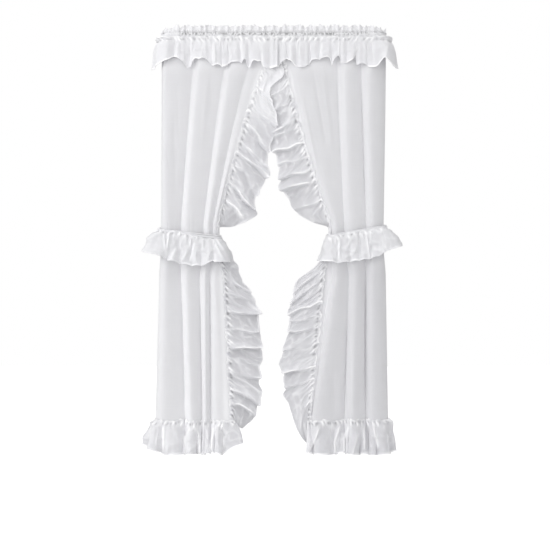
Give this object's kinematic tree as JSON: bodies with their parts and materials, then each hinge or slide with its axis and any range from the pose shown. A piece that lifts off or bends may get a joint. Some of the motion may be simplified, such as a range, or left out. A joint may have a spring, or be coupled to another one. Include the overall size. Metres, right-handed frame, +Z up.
{
  "type": "pair of ruffled rod pocket curtains with ties",
  "caption": "White ruffled rod pocket curtains, drawn back to both sides by ruffled ties, with ruffles along the top, inner and bottom edges.",
  "frame": {"origin": "on the centre line of the rod that the pockets take, midway between the rod's ends", "axes": "+X along the rod, to the right as seen from the room, +Y from the room towards the wall, +Z up"},
  "size_m": [0.9499, 0.1584, 1.5998],
  "materials": {
    "panel_cloth": "matte, semi-sheer plain weave",
    "ruffle_cloth": "matte, semi-sheer plain weave with a rolled hem",
    "tie_cloth": "matte plain weave with a rolled hem"
  },
  "bodies": {
    "root": {"left_heading": "panel_cloth", "left_panel": "panel_cloth", "left_top_ruffle": "ruffle_cloth", "left_side_ruffle": "ruffle_cloth", "left_bottom_ruffle": "ruffle_cloth", "left_tie_band": "tie_cloth", "left_tie_ruffle": "tie_cloth", "right_heading": "panel_cloth", "right_panel": "panel_cloth", "right_top_ruffle": "ruffle_cloth", "right_side_ruffle": "ruffle_cloth", "right_bottom_ruffle": "ruffle_cloth", "right_tie_band": "tie_cloth", "right_tie_ruffle": "tie_cloth"}
  },
  "joints": []
}
